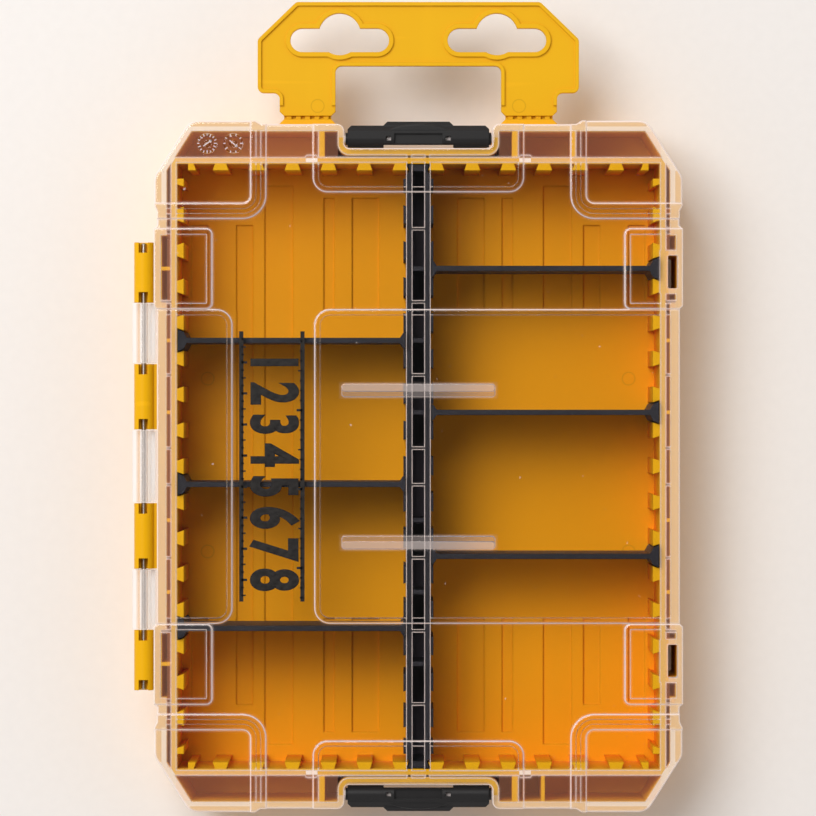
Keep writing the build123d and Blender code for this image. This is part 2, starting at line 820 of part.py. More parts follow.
def latch(end):
    """The latch of the far end, or of the near end with end = -1."""
    inner_face = latch_face_y - latch_plate
    tail = axle_z - latch_tail
    side = [
        (axle_y, axle_z + barrel_radius),
        (latch_face_y - latch_top_corner, axle_z + barrel_radius),
        (latch_face_y, axle_z + latch_corner),
        (latch_face_y, tail),
        (inner_face, tail),
        (inner_face, axle_z - barrel_radius / 2),
        (axle_y, axle_z - barrel_radius),
    ]
    hook_side = [
        (inner_face + latch_plate / 2, hook_top),
        (catch_tip + hook_gap, hook_top),
        (catch_tip + hook_gap, hook_top - hook_height / 2),
        (inner_face, hook_top - hook_height),
        (inner_face + latch_plate / 2, hook_top - hook_height),
    ]
    lip_face = latch_face_y + lip_reach
    lip_side = [
        (latch_face_y - latch_plate / 2, tail),
        (lip_face, tail),
        (lip_face, axle_z + lip_side_top),
        (lip_face - lip_slope, axle_z + lip_top),
        (latch_face_y - latch_plate / 2, axle_z + lip_top),
    ]
    arch_radius = (lip_arch_half**2 + lip_arch_sagitta**2) / (2 * lip_arch_sagitta)
    arch_y = latch_face_y + lip_arch_reach
    with BuildPart() as piece:
        with BuildSketch(Plane.YZ):
            Polygon(*side, align=None)
            with Locations((axle_y, axle_z)):
                Circle(barrel_radius)
        extrude(amount=latch_length / 2, both=True)
        outer_ends = piece.edges().filter_by(Axis.Z).filter_by(lambda e: e.center().Y > latch_face_y - 0.1)
        chamfer(outer_ends, latch_corner)

        # Hubs that reach to the walls of the recess
        with Locations((0, axle_y, axle_z)):
            Cylinder(hub_radius, 2 * (recess_half - hub_end_gap), rotation=(0, 90, 0))

        # The middle stands off the case, and its outside is a finger lip with an arched top
        with Locations((0, axle_y - axle_radius - axle_running_gap - middle_wall - past / 2, axle_z)):
            Box(latch_middle, past, past, mode=Mode.SUBTRACT)
        with BuildSketch(Plane.YZ):
            Polygon(*lip_side, align=None)
        extrude(amount=latch_middle / 2, both=True)
        lip_ends = piece.edges().filter_by(Axis.Z).filter_by(lambda e: e.center().Y > latch_face_y + 0.1)
        chamfer(lip_ends, latch_corner)
        add(arch_block(arch_radius, arch_y))

        # Hooks that reach under the catches
        hook_x = recess_half - catch_inset - catch_length / 2
        for x in both(hook_x):
            with BuildSketch(Plane.YZ.offset(x - catch_length / 2)):
                Polygon(*hook_side, align=None)
            extrude(amount=catch_length)

        # Bore for the axle, the groove on top and the windows that show the axle
        with Locations((0, axle_y, axle_z)):
            Cylinder(axle_radius + axle_running_gap, 2 * recess_half, rotation=(0, 90, 0), mode=Mode.SUBTRACT)
        with Locations((0, axle_y, axle_z + barrel_radius - grip_groove_depth / 2)):
            Box(grip_groove_length, grip_groove_width, grip_groove_depth, mode=Mode.SUBTRACT)
        window_x = latch_middle / 2 - axle_window
        with Locations(*[(a, axle_y, axle_z + barrel_radius / 2) for a in both(window_x)]):
            Box(axle_window, axle_radius, barrel_radius, mode=Mode.SUBTRACT)
    return piece.part if end > 0 else piece.part.rotate(Axis.Z, 180)


finish(latch(1), "top_latch")
finish(latch(-1), "bottom_latch")
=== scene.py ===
import math

import bmesh
import bpy
from mathutils import Matrix, Vector


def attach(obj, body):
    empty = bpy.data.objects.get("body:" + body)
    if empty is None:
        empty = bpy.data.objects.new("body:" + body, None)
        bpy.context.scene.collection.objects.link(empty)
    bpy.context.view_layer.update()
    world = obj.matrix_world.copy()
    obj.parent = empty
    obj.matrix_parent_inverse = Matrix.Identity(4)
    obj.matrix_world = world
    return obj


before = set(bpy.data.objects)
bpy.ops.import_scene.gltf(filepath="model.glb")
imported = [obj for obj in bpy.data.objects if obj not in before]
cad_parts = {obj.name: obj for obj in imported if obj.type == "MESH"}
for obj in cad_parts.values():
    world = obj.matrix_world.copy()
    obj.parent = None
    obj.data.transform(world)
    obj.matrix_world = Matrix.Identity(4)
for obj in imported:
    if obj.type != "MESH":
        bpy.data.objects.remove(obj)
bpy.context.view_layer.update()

# Places in the frame, in metres
mm = 0.001
panel_top = 42.4 * mm
panel_foot = 38.4 * mm

# Camera: straight above the case, at the photograph's scale
image_px = 816
px_per_m = 3110
case_centre_px = (418.4, 466.5)
camera_height = 1.65
camera_range = (0.05, 20)
scale_plane = 44 * mm
sensor_width = 36.0


def add_camera():
    """The camera looks straight down, with the hang tab at the top of the picture."""
    data = bpy.data.cameras.new("camera")
    data.sensor_width = sensor_width
    data.lens = px_per_m * (camera_height - scale_plane) * sensor_width / image_px
    data.clip_start, data.clip_end = camera_range
    camera = bpy.data.objects.new("camera", data)
    x = (image_px / 2 - case_centre_px[0]) / px_per_m
    y = (case_centre_px[1] - image_px / 2) / px_per_m
    camera.location = (x, y, camera_height)
    bpy.context.scene.collection.objects.link(camera)
    bpy.context.scene.camera = camera


# Node helpers
def new_material(name):
    """A material with its nodes, its links and its Principled node."""
    material = bpy.data.materials.new(name)
    material.use_nodes = True
    tree = material.node_tree
    return material, tree.nodes, tree.links, tree.nodes["Principled BSDF"]


def noise(nodes, links, scale, detail=3.0, stretch=None, seed=0.0):
    """A noise texture in the frame's own coordinates. Its scale is in features per metre."""
    where = nodes.new("ShaderNodeTexCoord")
    texture = nodes.new("ShaderNodeTexNoise")
    texture.noise_dimensions = "4D"
    texture.inputs["W"].default_value = seed
    texture.inputs["Scale"].default_value = scale
    texture.inputs["Detail"].default_value = detail
    if stretch:
        mapping = nodes.new("ShaderNodeMapping")
        mapping.inputs["Scale"].default_value = stretch
        links.new(where.outputs["Object"], mapping.inputs["Vector"])
        links.new(mapping.outputs["Vector"], texture.inputs["Vector"])
    else:
        links.new(where.outputs["Object"], texture.inputs["Vector"])
    return texture.outputs["Fac"]


def spread(nodes, links, source, low, high, out_low, out_high):
    """Maps a value from one range to another, clamped."""
    node = nodes.new("ShaderNodeMapRange")
    node.inputs["From Min"].default_value = low
    node.inputs["From Max"].default_value = high
    node.inputs["To Min"].default_value = out_low
    node.inputs["To Max"].default_value = out_high
    links.new(source, node.inputs["Value"])
    return node.outputs["Result"]


def blend_colours(nodes, links, factor, first, second):
    """Mixes two colours, or a colour socket and a colour, by a factor socket."""
    node = nodes.new("ShaderNodeMix")
    node.data_type = "RGBA"
    links.new(factor, node.inputs["Factor"])
    for name, value in (("A", first), ("B", second)):
        socket = [s for s in node.inputs if s.name == name and s.type == "RGBA"][0]
        if isinstance(value, tuple):
            socket.default_value = (*value[:3], 1)
        else:
            links.new(value, socket)
    return [s for s in node.outputs if s.type == "RGBA"][0]


def mottle(nodes, links, fade, strength, **pattern):
    """Noise that comes in over a range of its values, up to a strength."""
    return spread(nodes, links, noise(nodes, links, **pattern), *fade, 0, strength)


def add_bump(nodes, links, height, strength, distance, base=None):
    """A bump from a height socket, on top of another normal if one is given."""
    bump = nodes.new("ShaderNodeBump")
    bump.inputs["Strength"].default_value = strength
    bump.inputs["Distance"].default_value = distance
    links.new(height, bump.inputs["Height"])
    if base is not None:
        links.new(base, bump.inputs["Normal"])
    return bump.outputs["Normal"]


def maths(nodes, links, operation, first, second=None):
    """A Math node on one or two sockets or numbers."""
    node = nodes.new("ShaderNodeMath")
    node.operation = operation
    for slot, value in enumerate((first, second)):
        if isinstance(value, (int, float)):
            node.inputs[slot].default_value = value
        elif value is not None:
            links.new(value, node.inputs[slot])
    return node.outputs[0]


def between(nodes, links, value, low, high, soft=0.1 * mm):
    """1 where a value lies between two limits, and 0 outside, with soft ends."""
    rising = spread(nodes, links, value, low - soft, low + soft, 0, 1)
    falling = spread(nodes, links, value, high - soft, high + soft, 1, 0)
    return maths(nodes, links, "MULTIPLY", rising, falling)


def zone(x=(-1000, 1000), y=(-1000, 1000), z=(-1000, 1000)):
    """A box in millimetres, as ranges of |X|, |Y| and Z. 1000 and -1000 stand for no limit."""
    return [(low * mm, high * mm) for low, high in (x, y, z)]


def in_zone(nodes, links, place, limits):
    """1 inside a zone, and 0 outside. place has the sockets |X|, |Y| and Z."""
    across, along, up = (between(nodes, links, value, *pair) for value, pair in zip(place, limits))
    return maths(nodes, links, "MULTIPLY", maths(nodes, links, "MULTIPLY", across, along), up)


def mirrored_place(nodes, links):
    """Sockets with |X|, |Y| and Z of the shaded point, in the part's own frame, and its plain X."""
    where = nodes.new("ShaderNodeTexCoord")
    split = nodes.new("ShaderNodeSeparateXYZ")
    links.new(where.outputs["Object"], split.inputs[0])
    across = maths(nodes, links, "ABSOLUTE", split.outputs["X"])
    along = maths(nodes, links, "ABSOLUTE", split.outputs["Y"])
    return (across, along, split.outputs["Z"]), split.outputs["X"]


def rounded(nodes, radius, samples):
    """A Bevel node, which shades the edges as if they were rounded."""
    node = nodes.new("ShaderNodeBevel")
    node.samples = samples
    node.inputs["Radius"].default_value = radius
    return node.outputs[0]


def tilt_frost(nodes, links, normal, low, high, most):
    """Frost by slope, partly a matt look and partly painted highlights on edges and slopes: most where |normal
    Z| is under low, and none above high.
    """
    split = nodes.new("ShaderNodeSeparateXYZ")
    links.new(normal, split.inputs[0])
    level = maths(nodes, links, "ABSOLUTE", split.outputs["Z"])
    return spread(nodes, links, level, low, high, most, 0.0)


def ring_marks(nodes, links, place, centres, radius, width=0.35 * mm):
    """1 on thin circles round the given centres, mirrored in X and Y, and 0 elsewhere."""
    found = None
    for x, y in centres:
        across = maths(nodes, links, "SUBTRACT", place[0], x)
        along = maths(nodes, links, "SUBTRACT", place[1], y)
        squares = maths(
            nodes, links, "ADD",
            maths(nodes, links, "MULTIPLY", across, across), maths(nodes, links, "MULTIPLY", along, along),
        )
        away = maths(nodes, links, "SQRT", squares)
        ring = between(nodes, links, away, radius - width / 2, radius + width / 2, width / 4)
        found = ring if found is None else maths(nodes, links, "MAXIMUM", found, ring)
    return found


# Values that the materials share: the range that most noise lies in, and the samples of a rounded edge
usual_noise = (0.3, 0.7)
plastic_ior = 1.5
few_samples, more_samples = 4, 6

# Moulded plastic: its soft edges, the heights over which its colour goes over to painted shade and bounce
# light, the slopes that count as a floor, and the space inside the walls, outside of which the channels get a
# painted glow
edge_radius = 0.4 * mm
low_edge_radius = 0.45 * mm
floor_edge_radius = 0.8 * mm
floor_edges_end = (2.8 * mm, 3.4 * mm)
shade_heights = (5 * mm, 36 * mm)
floor_slopes = (0.3, 0.7)
inner_walls = zone(x=(-1000, 78.2), y=(-1000, 97.6))

# Marks in its colour, how much lighter they are, its gloss about the mean, and the painted shade in the
# ejector marks' rims
patches = dict(scale=22, detail=4, seed=1.0, fade=(0.35, 0.7), strength=1.0)
flow_marks = dict(scale=60, detail=2, stretch=(1.0, 0.18, 0.5), seed=2.0, fade=(0.55, 0.8), strength=0.5)
hairlines = dict(scale=260, detail=1, stretch=(0.05, 1.0, 1.0), seed=3.0, fade=(0.66, 0.74), strength=0.5)
flow_gain, hairline_gain, hairline_lift = 1.06, 1.12, 0.003
gloss_below, gloss_above = 0.06, 0.08
grain_strength = 0.5
ejector_rim_shade, ejector_shade_tone = 0.35, 0.5


def moulded_plastic(name, colour, deeper, roughness, grain, grain_depth, shine, painted_low_floor=None, painted_low_walls=None,
                    painted_channel_glow=None, ejectors=(), ejector_radius=0.0):
    """Opaque moulded plastic: fine eroded grain, slight flow marks in its colour, and hairline rubs. With low
    tones given, painted shade and bounce light towards the bottom, one tone for floors and one for walls, and
    a painted glow in the channels.
    """
    material, nodes, links, shader = new_material(name)
    lighter = tuple(min(1.0, c * flow_gain) for c in colour)
    worn = tuple(min(1.0, c * hairline_gain + hairline_lift) for c in colour)
    painted = colour
    for mark, tone in ((patches, deeper), (flow_marks, lighter), (hairlines, worn)):
        painted = blend_colours(nodes, links, mottle(nodes, links, **mark), painted, tone)
    soft_edges = nodes.new("ShaderNodeBevel")
    soft_edges.samples = few_samples
    soft_edges.inputs["Radius"].default_value = edge_radius
    # Painted shade and bounce light: towards the bottom the colour goes over to a floor tone and a wall tone
    if painted_low_floor is not None:
        place, _ = mirrored_place(nodes, links)
        shade_depth = spread(nodes, links, place[2], *shade_heights, 1.0, 0.0)
        facing = nodes.new("ShaderNodeNewGeometry")
        split = nodes.new("ShaderNodeSeparateXYZ")
        links.new(facing.outputs["True Normal"], split.inputs[0])
        level = spread(nodes, links, split.outputs["Z"], *floor_slopes, 0.0, 1.0)
        painted_low_tone = blend_colours(nodes, links, level, painted_low_walls, painted_low_floor)
        # Painted glow: the channels outside the inner walls take a brighter orange in place of their shade
        if painted_channel_glow is not None:
            inside = in_zone(nodes, links, place, inner_walls)
            painted_low_tone = blend_colours(nodes, links, inside, painted_channel_glow, painted_low_tone)
        painted = blend_colours(nodes, links, shade_depth, painted, painted_low_tone)
        on_floor = spread(nodes, links, place[2], *floor_edges_end, floor_edge_radius, low_edge_radius)
        links.new(on_floor, soft_edges.inputs["Radius"])
    # Ejector marks: a darker ring round each is painted shade in its rim
    if ejectors:
        spot, _ = mirrored_place(nodes, links)
        rim_shade = ring_marks(nodes, links, spot, ejectors, ejector_radius)
        rim_shade = maths(nodes, links, "MULTIPLY", rim_shade, ejector_rim_shade)
        painted = blend_colours(nodes, links, rim_shade, painted, tuple(ejector_shade_tone * c for c in colour))
    links.new(painted, shader.inputs["Base Color"])
    fine = noise(nodes, links, grain, 2, seed=4.0)
    gloss = spread(nodes, links, fine, *usual_noise, roughness - gloss_below, roughness + gloss_above)
    links.new(gloss, shader.inputs["Roughness"])
    relief = add_bump(nodes, links, fine, grain_strength, grain_depth, soft_edges.outputs[0])
    links.new(relief, shader.inputs["Normal"])
    shader.inputs["IOR"].default_value = plastic_ior
    shader.inputs["Specular IOR Level"].default_value = shine
    return material


# Zones of the lid, mirrored in X and Y. Those whose Z isn't given reach through it from top to bottom
inside_rim = zone(x=(-1000, 77.5), y=(-1000, 97))
centre_rails = zone(x=(-1000, 4.6), y=(-1000, 98))
corner_pads = zone(x=(53.6, 1000), y=(84.3, 1000))
side_blocks = zone(x=(65.6, 1000), y=(49.5, 77.5))
dial_pads = zone(x=(55.5, 72), y=(100.2, 108), z=(41.5, 42.6))
# The bars' ledges, whose grey frost is the bars' painted shadow
bar_ledges = zone(x=(-1000, 25.5), y=(21.8, 27.2), z=(44.05, 46))
latch_recess = zone(x=(-1000, 33), y=(95, 106))
within_rim = zone(x=(-1000, 80.6), y=(-1000, 100))
beside_latch = zone(x=(-1000, 54), y=(100, 1000))
# The channels, whose warm frost is a painted glow
end_channels = zone(x=(25.9, 78), y=(97.8, 107.7), z=(42.3, 44.2))
side_channels = zone(x=(79.3, 80.9), y=(-1000, 97), z=(41.6, 45))
side_pockets = zone(x=(80.9, 82.5), y=(51, 76), z=(44.5, 45))
rail_tabs = zone(x=(32.5, 36.3), y=(97.6, 99.4), z=(38, 40))
bar_tops = zone(x=(-1000, 24.8), y=(24, 26.7), z=(44.5, 46))
# The latch axles, whose strong frost is a painted highlight
latch_axles = zone(x=(-1000, 23.75), y=(103.8, 107.4), z=(38.2, 41.2))

# The rim's inner faces: across the sides, along the ends and over the cut corners, whose normal is given.
# Then how far from them the white band of painted highlight lies, and where it begins along Y
rim_inner_x = 80.9 * mm
rim_inner_y = 107.65 * mm
corner_normal = (0.8427, 0.538)
corner_distance = 119.4 * mm
highlight_band_reach = (0.1 * mm, 2.0 * mm)
highlight_band_start = (83.5 * mm, 84.5 * mm)

# Radii of the lid's shaded edges, the slopes that are frosted, partly as painted highlights, and where its
# hidden underside, the feet of its slopes, the panel's foot and the knuckles end
fine_radius = 0.4 * mm
soft_radius = 1.5 * mm
sharp_slopes = dict(low=0.72, high=0.985, most=0.95)
soft_slopes = dict(low=0.6, high=1.0, most=0.4)
hidden_end = (42.25 * mm, 42.3 * mm)
foot_heights = (42.3 * mm, 43.0 * mm)
foot_softness = 0.05 * mm
panel_foot_end = (panel_foot, panel_foot + 0.1 * mm)
knuckle_end = (-84.9 * mm, -84.6 * mm)

# The lid's smears, which take off some gloss, its ripple and the specks on it
smears = dict(scale=35, detail=5, seed=5.0, fade=(0.35, 0.75), strength=0.024)
ripple = dict(scale=40, detail=1, seed=6.0)
ripple_bump = (0.15, 0.1 * mm)
specks = dict(scale=420, detail=2, seed=7.0, fade=(0.75, 0.79), strength=0.35)

# How strongly each part of the lid is frosted, as painted highlight on the band and axles, painted shadow on
# the ledges and painted glow in the channels, and how much of the frost each of these places hides
frost_and_painted_light_levels = {
    "highlight_band": 0.68, "tabs": 0.85, "bars": 0.33, "ledges": 0.14, "axles": 0.8, "knuckles": 0.2, "channels": 0.12,
    "inner_feet": 0.2, "rim_feet": 0.4,
}
hidden_shares = {
    "underside": 0.9, "slope_feet": 0.7, "ledges": 0.6, "recess_feet": 0.85, "band_by_latch": 0.45,
}
knuckle_whiteness = 3.5
haze_roughness, haze_shine = 0.35, 0.3
haze_colour = (0.86, 0.77, 0.75)
white_haze = (0.93, 0.91, 0.89)
painted_glow_haze = (1.0, 0.42, 0.25)
clear_pass = (0.98, 0.97, 0.96, 1)


def clear_plastic(name, tint):
    """The lid's clear plastic: polished flats, and frosted edges, slopes, feet, bars and knuckles, with
    painted light in the frost: highlights on edges, slopes, the rim's inner band and the latch axles, the
    bars' shadow on their ledges, and a glow in the channels.
    """
    material, nodes, links, glass = new_material(name)
    output = nodes["Material Output"]
    glass.inputs["Base Color"].default_value = (*tint, 1)
    glass.inputs["Transmission Weight"].default_value = 1.0
    glass.inputs["IOR"].default_value = plastic_ior
    links.new(mottle(nodes, links, **smears), glass.inputs["Roughness"])
    fine_edges = rounded(nodes, fine_radius, more_samples)
    relief = add_bump(nodes, links, noise(nodes, links, **ripple), *ripple_bump, fine_edges)
    links.new(relief, glass.inputs["Normal"])

    haze = nodes.new("ShaderNodeBsdfPrincipled")
    haze.inputs["Roughness"].default_value = haze_roughness
    haze.inputs["Specular IOR Level"].default_value = haze_shine
    place, x = mirrored_place(nodes, links)
    z = place[2]

    def outside(mask):
        return maths(nodes, links, "SUBTRACT", 1.0, mask)

    def times(value, factor):
        return maths(nodes, links, "MULTIPLY", value, factor)

    def within(limits):
        return in_zone(nodes, links, place, limits)

    def most_of(first, second):
        return maths(nodes, links, "MAXIMUM", first, second)

    def past(value, limit):
        return maths(nodes, links, "SUBTRACT", value, limit)

    # Edges and slopes get frost that is partly painted highlight, the white lines clear edges show in light
    sharp = tilt_frost(nodes, links, fine_edges, **sharp_slopes)
    soft = tilt_frost(nodes, links, rounded(nodes, soft_radius, few_samples), **soft_slopes)

    # Inside the rim only the tops of ridges and plateaus show, and the feet of corner pads and side blocks
    interior = within(inside_rim)
    rails = within(centre_rails)
    under = times(interior, spread(nodes, links, z, *hidden_end, hidden_shares["underside"], 0.0))
    under = times(under, outside(rails))
    foot = times(interior, between(nodes, links, z, *foot_heights, foot_softness))
    foot = times(foot, outside(most_of(within(corner_pads), within(side_blocks))))
    hidden = most_of(most_of(under, times(foot, hidden_shares["slope_feet"])), within(dial_pads))
    ledges = within(bar_ledges)
    hidden = most_of(hidden, times(ledges, hidden_shares["ledges"]))
    sharp = times(sharp, outside(hidden))
    soft = times(times(soft, outside(hidden)), outside(rails))

    # The rails' feet are clear. The rim's foot has a painted highlight, a white band along its inner side at
    # the ends of the case
    low = spread(nodes, links, z, *panel_foot_end, 1.0, 0.0)
    rim = outside(within(within_rim))
    foot_levels = (frost_and_painted_light_levels["inner_feet"], frost_and_painted_light_levels["rim_feet"])
    feet = times(low, spread(nodes, links, rim, 0.0, 1.0, *foot_levels))
    feet = times(feet, outside(rails))
    feet = times(feet, outside(times(within(latch_recess), hidden_shares["recess_feet"])))
    slants = [times(value, part) for value, part in zip(place, corner_normal)]
    slant = maths(nodes, links, "ADD", *slants)
    inward = most_of(past(place[0], rim_inner_x), past(place[1], rim_inner_y))
    inward = most_of(inward, past(slant, corner_distance))
    highlight_band = times(times(low, between(nodes, links, inward, *highlight_band_reach)), frost_and_painted_light_levels["highlight_band"])
    ends = spread(nodes, links, place[1], *highlight_band_start, 0.0, 1.0)
    highlight_band = times(times(highlight_band, ends), outside(times(within(beside_latch), hidden_shares["band_by_latch"])))

    channels = most_of(most_of(within(end_channels), within(side_channels)), within(side_pockets))
    tabs = within(rail_tabs)
    knuckles = spread(nodes, links, x, *knuckle_end, frost_and_painted_light_levels["knuckles"], 0.0)
    frosted_and_painted_places = {
        "tabs": tabs, "bars": within(bar_tops), "ledges": ledges, "axles": within(latch_axles),
        "channels": channels,
    }
    layers = [times(mask, frost_and_painted_light_levels[name]) for name, mask in frosted_and_painted_places.items()]
    frost_and_painted_light = sharp
    for layer in (soft, feet, highlight_band, knuckles, mottle(nodes, links, **specks), *layers):
        frost_and_painted_light = most_of(frost_and_painted_light, layer)
    white = most_of(most_of(highlight_band, tabs), times(knuckles, knuckle_whiteness))
    tone = blend_colours(nodes, links, white, haze_colour, white_haze)
    # Painted glow: the channels' frost takes a warm orange tone
    tone = blend_colours(nodes, links, times(channels, outside(sharp)), tone, painted_glow_haze)
    links.new(tone, haze.inputs["Base Color"])

    # Frost over glass, and a straight way through both for the light of lamps and for diffuse light
    body = nodes.new("ShaderNodeMixShader")
    links.new(frost_and_painted_light, body.inputs[0])
    links.new(glass.outputs[0], body.inputs[1])
    links.new(haze.outputs[0], body.inputs[2])
    rays = nodes.new("ShaderNodeLightPath").outputs
    through = nodes.new("ShaderNodeBsdfTransparent")
    through.inputs["Color"].default_value = clear_pass
    straight = maths(nodes, links, "MAXIMUM", rays["Is Shadow Ray"], rays["Is Diffuse Ray"])
    lamps = nodes.new("ShaderNodeMixShader")
    links.new(straight, lamps.inputs[0])
    links.new(body.outputs[0], lamps.inputs[1])
    links.new(through.outputs[0], lamps.inputs[2])
    links.new(lamps.outputs[0], output.inputs["Surface"])
    return material


# Steel wire, and thin covers on the plastic: their tones, gloss and relief
wire_lines = dict(scale=3000, detail=2, stretch=(1.0, 0.01, 1.0), seed=8.0)
dull_patches = dict(scale=90, detail=3, seed=9.0, fade=(0.4, 0.7), strength=1)
bright_steel, dull_steel = (0.4, 0.375, 0.36), (0.26, 0.24, 0.23)
wire_gloss, wire_bump = (0.22, 0.42), (0.3, 0.01 * mm)
coat_gloss, coat_bump = (0.35, 0.55), (0.2, 0.01 * mm)


def drawn_steel(name):
    """Drawn steel wire, with fine lines along it and a few duller patches."""
    material, nodes, links, shader = new_material(name)
    shader.inputs["Metallic"].default_value = 1.0
    lines = noise(nodes, links, **wire_lines)
    tone = blend_colours(nodes, links, mottle(nodes, links, **dull_patches), bright_steel, dull_steel)
    links.new(tone, shader.inputs["Base Color"])
    links.new(spread(nodes, links, lines, *usual_noise, *wire_gloss), shader.inputs["Roughness"])
    links.new(add_bump(nodes, links, lines, *wire_bump), shader.inputs["Normal"])
    return material


def fine_coat(name, first, second, scale, detail, seed, fade, shine):
    """Ink or frosting: a thin cover that is a little uneven in its colour, gloss and height."""
    material, nodes, links, shader = new_material(name)
    cover = noise(nodes, links, scale, detail, seed=seed)
    tone = blend_colours(nodes, links, spread(nodes, links, cover, *fade, 0, 1), first, second)
    links.new(tone, shader.inputs["Base Color"])
    links.new(spread(nodes, links, cover, *usual_noise, *coat_gloss), shader.inputs["Roughness"])
    links.new(add_bump(nodes, links, cover, *coat_bump), shader.inputs["Normal"])
    shader.inputs["Specular IOR Level"].default_value = shine
    return material


ejector_radius = 2.1 * mm
# Yellow tub: painted low tones, a more orange floor and redder walls standing for bounced light and shade
# inside the tub, and a brighter painted glow in the channels
yellow = moulded_plastic(
    "yellow_plastic", (0.8, 0.43, 0.003), (0.77, 0.4, 0.002),
    roughness=0.42, grain=2400, grain_depth=0.02 * mm, shine=0.12,
    painted_low_floor=(0.95, 0.395, 0.002), painted_low_walls=(0.97, 0.26, 0.004), painted_channel_glow=(1.0, 0.5, 0.05),
    ejectors=((69.4 * mm, 28.5 * mm),), ejector_radius=ejector_radius,
)
hanger_yellow = moulded_plastic(
    "hanger_plastic", (0.78, 0.43, 0.006), (0.75, 0.405, 0.005),
    roughness=0.42, grain=2400, grain_depth=0.02 * mm, shine=0.12,
    ejectors=((32.6 * mm, 116.6 * mm),), ejector_radius=ejector_radius,
)
# Black parts: a lighter bluish painted tone towards the bottom, on floors and walls
black = moulded_plastic(
    "black_plastic", (0.02, 0.02, 0.027), (0.015, 0.015, 0.021),
    roughness=0.5, grain=2600, grain_depth=0.02 * mm, shine=0.15,
    painted_low_floor=(0.2, 0.17, 0.22), painted_low_walls=(0.06, 0.052, 0.066),
)
latch_black = moulded_plastic(
    "latch_plastic", (0.013, 0.0125, 0.013), (0.009, 0.0085, 0.009),
    roughness=0.44, grain=1900, grain_depth=0.03 * mm, shine=0.25,
)
clear = clear_plastic("clear_plastic", (0.97, 0.965, 0.955))
steel = drawn_steel("steel_wire")
ink = fine_coat(
    "printed_ink", (0.012, 0.011, 0.011), (0.03, 0.028, 0.027),
    scale=700, detail=3, seed=10.0, fade=(0.3, 0.75), shine=0.12,
)
frosted = fine_coat(
    "frosted_marks", (0.8, 0.72, 0.68), (0.66, 0.56, 0.5),
    scale=900, detail=2, seed=12.0, fade=(0.3, 0.7), shine=0.5,
)

node_materials = {
    "lid": clear, "hinge_pin": steel, "base_tub": yellow, "hanger": hanger_yellow,
    "top_latch": latch_black, "bottom_latch": latch_black,
}


def dress_nodes():
    """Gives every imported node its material."""
    for name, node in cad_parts.items():
        material = node_materials.get(name, black)
        node.data.materials.clear()
        node.data.materials.append(material)


def mesh_object(name, mesh_data, material, body):
    """Turns a bmesh into a piece that rides on a body."""
    mesh = bpy.data.meshes.new(name)
    mesh_data.to_mesh(mesh)
    mesh_data.free()
    mesh.materials.append(material)
    piece = bpy.data.objects.new(name, mesh)
    bpy.context.scene.collection.objects.link(piece)
    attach(piece, body)
    return piece


# Printed ruler on the lid's strip: bars and ticks at both edges, and heavy plain numbers for the centimetres
bar_left = -57.0 * mm
bar_right = -37.3 * mm
bar_width = 1.35 * mm
ink_height = 0.06 * mm
ruler_start = 43.5 * mm
ruler_length = 87.0 * mm
centimetre = 10 * mm
inch = 25.4 * mm
long_tick, middle_tick, short_tick = 1.9 * mm, 1.4 * mm, 0.9 * mm
heavy_line, fine_line = 0.8 * mm, 0.5 * mm
digit_size = 20.5 * mm
digit_weight = 0.75 * mm
digit_narrowing = 0.7


def add_bar(target, x_low, x_high, y_low, y_high, z_low, z_high):
    """Adds one block to a bmesh."""
    centre = Vector(((x_low + x_high) / 2, (y_low + y_high) / 2, (z_low + z_high) / 2))
    size = Vector((x_high - x_low, y_high - y_low, z_high - z_low))
    bmesh.ops.create_cube(target, size=1, matrix=Matrix.Translation(centre) @ Matrix.Diagonal((*size, 1)))


def add_ruler():
    """Two printed scales that face each other, centimetres and inches, and the centimetres' numbers."""
    ticks = bmesh.new()
    z_low, z_high = panel_top, panel_top + ink_height
    for edge in (bar_left, bar_right):
        low_y, high_y = ruler_start - ruler_length, ruler_start
        add_bar(ticks, edge - bar_width / 2, edge + bar_width / 2, low_y, high_y, z_low, z_high)

    # Each scale's bar, the side its ticks point to, their pitch and number, and how many make one unit
    scales = ((bar_left, 1, centimetre / 4, 34, 4), (bar_right, -1, inch / 8, 27, 8))
    for edge, direction, pitch, count, whole in scales:
        for step in range(1, count + 1):
            reach, width = short_tick, fine_line
            if step % whole == 0:
                reach, width = long_tick, heavy_line
            elif step % (whole // 2) == 0:
                reach = middle_tick
            x_low, x_high = sorted((edge, edge + direction * reach))
            y = ruler_start - step * pitch
            add_bar(ticks, x_low, x_high, y - width / 2, y + width / 2, z_low, z_high)
    mesh_object("ruler_ticks", ticks, ink, "lid")

    middle = (bar_left + bar_right) / 2
    for number in range(1, 9):
        curve = bpy.data.curves.new(f"ruler_number_{number}", "FONT")
        curve.body = str(number)
        curve.size = digit_size
        curve.align_x = "CENTER"
        curve.align_y = "CENTER"
        curve.bevel_depth = digit_weight
        curve.bevel_resolution = 1
        drawn = bpy.data.objects.new(f"ruler_number_{number}", curve)
        drawn.rotation_euler = (0, 0, -math.pi / 2)
        drawn.scale = (digit_narrowing, 1, ink_height / 2 / digit_weight)
        drawn.location = (middle, ruler_start - number * centimetre, panel_top + ink_height / 2)
        bpy.context.scene.collection.objects.link(drawn)
        curve.materials.append(ink)
        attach(drawn, "lid")


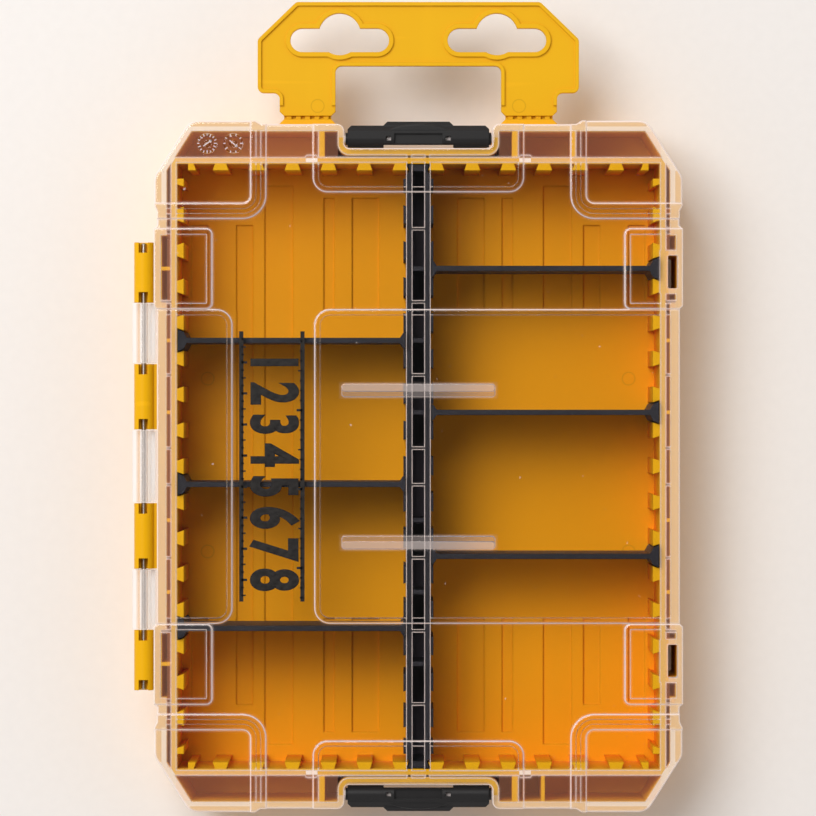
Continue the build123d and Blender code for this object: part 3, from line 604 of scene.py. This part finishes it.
# Mould dials on the corner pad beside the hinge: plain ticks and an arrow
dial_centres = ((-68.0 * mm, 104.0 * mm), (-59.6 * mm, 104.0 * mm))
dial_ticks = (16, 10)
dial_turns = (35, -40)
dial_radius = 3.2 * mm
long_mark, short_mark = 2.2 * mm, 2.5 * mm
mark_width, arrow_width, barb_width = 0.28 * mm, 0.32 * mm, 0.3 * mm
arrow_tail, arrow_head, barb_length, barb_angle = -1.5 * mm, 1.7 * mm, 0.8 * mm, 32


def add_dial_marks():
    """Fine raised ticks and arrows on the two blank dials."""
    marks = bmesh.new()

    def stroke(centre, angle, near, far, width):
        turn = Matrix.Translation((*centre, panel_top + ink_height / 2)) @ Matrix.Rotation(angle, 4, "Z")
        middle = Matrix.Translation(((near + far) / 2, 0, 0))
        shape = middle @ Matrix.Diagonal((far - near, width, ink_height, 1))
        bmesh.ops.create_cube(marks, size=1, matrix=turn @ shape)

    for centre, count, turned in zip(dial_centres, dial_ticks, dial_turns):
        for tick in range(count):
            inner = long_mark if tick % 3 == 0 else short_mark
            stroke(centre, math.tau * tick / count, inner, dial_radius, mark_width)
        angle = math.radians(turned)
        stroke(centre, angle, arrow_tail, arrow_head, arrow_width)
        tip = (centre[0] + arrow_head * math.cos(angle), centre[1] + arrow_head * math.sin(angle))
        for side in (1, -1):
            stroke(tip, angle + math.radians(180 - side * barb_angle), 0.0, barb_length, barb_width)
    mesh_object("dial_marks", marks, frosted, "lid")


# Floor, lamp and world
floor_half = 3.0
floor_grain = dict(scale=300, detail=3, seed=11.0)
floor_tones = ((0.80, 0.80, 0.80), (0.84, 0.84, 0.84))
floor_roughness = 0.8
lamp_place = (-0.62, 0.68, 1.6)
lamp_target = (0, 0, 0.02)
lamp_size = 1.1
lamp_power = 26
lamp_colour = (1.0, 0.99, 0.97)
fill_hue, seen_hue = (1.0, 0.9, 0.84), (0.97, 0.98, 1.0)
ceiling_edge = (0.7, 0.95)


def add_floor():
    """A plain pale floor under the case."""
    material, nodes, links, shader = new_material("studio_floor")
    tone = blend_colours(nodes, links, noise(nodes, links, **floor_grain), *floor_tones)
    links.new(tone, shader.inputs["Base Color"])
    shader.inputs["Roughness"].default_value = floor_roughness
    ground = bmesh.new()
    signs = ((-1, -1), (1, -1), (1, 1), (-1, 1))
    ground.faces.new([ground.verts.new((x * floor_half, y * floor_half, 0)) for x, y in signs])
    mesh = bpy.data.meshes.new("studio_floor")
    ground.to_mesh(mesh)
    ground.free()
    mesh.materials.append(material)
    floor = bpy.data.objects.new("studio_floor", mesh)
    bpy.context.scene.collection.objects.link(floor)


def add_lamp():
    """A square area lamp that points at the case. It isn't seen through the lid, but its light passes it."""
    data = bpy.data.lights.new("key", "AREA")
    data.shape = "SQUARE"
    data.size = lamp_size
    data.energy = lamp_power
    data.color = lamp_colour
    lamp = bpy.data.objects.new("key", data)
    lamp.location = lamp_place
    lamp.visible_transmission = False
    aim = Vector(lamp_target) - Vector(lamp_place)
    lamp.rotation_mode = "QUATERNION"
    lamp.rotation_quaternion = aim.to_track_quat("-Z", "Y")
    bpy.context.scene.collection.objects.link(lamp)


def add_world(fill, seen, overhead):
    """Pale walls and a darker ceiling. fill lights the case, and camera, gloss and glass show seen."""
    world = bpy.data.worlds.new("studio")
    bpy.context.scene.world = world
    world.use_nodes = True
    nodes, links = world.node_tree.nodes, world.node_tree.links
    background = nodes["Background"]
    rays = nodes.new("ShaderNodeLightPath").outputs
    either = maths(nodes, links, "MAXIMUM", rays["Is Glossy Ray"], rays["Is Transmission Ray"])
    straight = maths(nodes, links, "MAXIMUM", either, rays["Is Camera Ray"])
    level = spread(nodes, links, straight, 0, 1, fill, seen)
    hue = blend_colours(nodes, links, straight, fill_hue, seen_hue)
    links.new(hue, background.inputs["Color"])
    where = nodes.new("ShaderNodeTexCoord")
    split = nodes.new("ShaderNodeSeparateXYZ")
    links.new(where.outputs["Generated"], split.inputs[0])
    ceiling = spread(nodes, links, split.outputs["Z"], *ceiling_edge, 1.0, overhead)
    links.new(maths(nodes, links, "MULTIPLY", level, ceiling), background.inputs["Strength"])


add_camera()
dress_nodes()
add_ruler()
add_dial_marks()
add_floor()
add_lamp()
add_world(fill=0.7, seen=0.85, overhead=0.05)
bpy.context.scene.view_settings.view_transform = "Standard"
